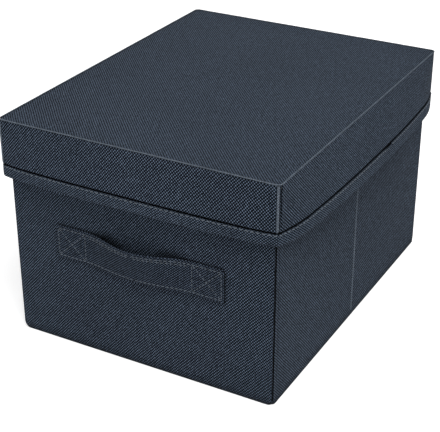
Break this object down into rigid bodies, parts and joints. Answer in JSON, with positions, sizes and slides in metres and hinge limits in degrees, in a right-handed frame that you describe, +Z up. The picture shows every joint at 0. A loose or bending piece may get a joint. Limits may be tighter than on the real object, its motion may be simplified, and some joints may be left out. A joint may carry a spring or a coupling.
{
  "type": "fabric storage box with lid",
  "caption": "Rectangular fabric-covered storage box with a lift-off lid, side creases that let it fold flat, strap handles and a loose base board.",
  "frame": {"origin": "middle of the face the box stands on", "axes": "+X to the box's right seen from the front handle, +Y from front to back, +Z up"},
  "size_m": [0.241, 0.2908, 0.172],
  "materials": {
    "woven_fabric": "dark blue grey polyester cloth in a coarse two-tone plain weave",
    "binding_tape": "the same cloth, cut as tape and top-stitched",
    "seam_cord": "sewn seam edge in the same cloth",
    "lining_cloth": "thin non-woven lining cloth",
    "grey_board": "grey chipboard stiffener inside the cloth"
  },
  "bodies": {
    "base": {"floor_fabric": "woven_fabric", "floor_lining": "lining_cloth", "back_wall_board": "grey_board", "back_wall_cover": "woven_fabric", "back_wall_lining": "lining_cloth", "back_wall_edge_binding": "binding_tape", "back_handle_end_left": "woven_fabric", "back_handle_end_right": "woven_fabric", "corner_seam_back_right": "seam_cord", "corner_seam_back_left": "seam_cord"},
    "side_right_rear": {"side_right_rear_board": "grey_board", "side_right_rear_cover": "woven_fabric", "side_right_rear_lining": "lining_cloth", "side_right_rear_edge_binding": "binding_tape", "crease_seam_right": "seam_cord"},
    "side_right_front": {"side_right_front_board": "grey_board", "side_right_front_cover": "woven_fabric", "side_right_front_lining": "lining_cloth", "side_right_front_edge_binding": "binding_tape"},
    "front_wall": {"front_wall_board": "grey_board", "front_wall_cover": "woven_fabric", "front_wall_lining": "lining_cloth", "front_wall_edge_binding": "binding_tape", "corner_seam_front_right": "seam_cord", "corner_seam_front_left": "seam_cord", "front_handle_end_left": "woven_fabric", "front_handle_end_right": "woven_fabric"},
    "side_left_rear": {"side_left_rear_board": "grey_board", "side_left_rear_cover": "woven_fabric", "side_left_rear_lining": "lining_cloth", "side_left_rear_edge_binding": "binding_tape", "crease_seam_left": "seam_cord"},
    "side_left_front": {"side_left_front_board": "grey_board", "side_left_front_cover": "woven_fabric", "side_left_front_lining": "lining_cloth", "side_left_front_edge_binding": "binding_tape"},
    "front_handle": {"front_handle_grip": "woven_fabric"},
    "back_handle": {"back_handle_grip": "woven_fabric"},
    "base_board": {"base_board_core": "grey_board", "base_board_cover": "lining_cloth", "base_board_backing": "lining_cloth", "base_board_tab": "binding_tape"},
    "lid": {"lid_top_fabric": "woven_fabric", "lid_top_board": "grey_board", "lid_top_lining": "lining_cloth", "lid_top_seam": "seam_cord", "lid_corner_seams": "seam_cord", "lid_skirt_fabric": "woven_fabric", "lid_skirt_lining": "lining_cloth", "lid_board_front": "grey_board", "lid_board_back": "grey_board", "lid_board_left": "grey_board", "lid_board_right": "grey_board", "lid_ledge": "lining_cloth", "lid_hem": "binding_tape"}
  },
  "joints": [
    {"name": "lid_lift", "type": "slide", "parent": "base", "child": "lid", "axis": [0, 0, 1], "range_m": [0, 0.18]},
    {"name": "base_board_lift", "type": "slide", "parent": "base", "child": "base_board", "axis": [0, 0, 1], "range_m": [0, 0.1615]},
    {"name": "fold_right_rear_corner", "type": "hinge", "parent": "base", "child": "side_right_rear", "pos_m": [0.1017, 0.1295, 0], "axis": [0, 0, -1], "range_deg": [0, 48]},
    {"name": "fold_right_crease", "type": "hinge", "parent": "side_right_rear", "child": "side_right_front", "pos_m": [0.1044, 0, 0], "axis": [0, 0, 1], "range_deg": [0, 96]},
    {"name": "fold_right_front_corner", "type": "hinge", "parent": "side_right_front", "child": "front_wall", "pos_m": [0.1017, -0.1295, 0], "axis": [0, 0, -1], "range_deg": [0, 48]},
    {"name": "fold_left_rear_corner", "type": "hinge", "parent": "base", "child": "side_left_rear", "pos_m": [-0.1017, 0.1295, 0], "axis": [0, 0, 1], "range_deg": [0, 48]},
    {"name": "fold_left_crease", "type": "hinge", "parent": "side_left_rear", "child": "side_left_front", "pos_m": [-0.1044, 0, 0], "axis": [0, 0, -1], "range_deg": [0, 96]},
    {"name": "front_handle_swing", "type": "hinge", "parent": "front_wall", "child": "front_handle", "pos_m": [0, -0.1346, 0.098], "axis": [-1, 0, 0], "range_deg": [0, 60]},
    {"name": "back_handle_swing", "type": "hinge", "parent": "base", "child": "back_handle", "pos_m": [0, 0.1346, 0.098], "axis": [1, 0, 0], "range_deg": [0, 60]}
  ],
  "couplings": [
    {"joint": "fold_right_crease", "follows": "fold_right_rear_corner", "ratio": 2},
    {"joint": "fold_right_front_corner", "follows": "fold_right_rear_corner", "ratio": 1},
    {"joint": "fold_left_rear_corner", "follows": "fold_right_rear_corner", "ratio": 1},
    {"joint": "fold_left_crease", "follows": "fold_right_rear_corner", "ratio": 2}
  ]
}
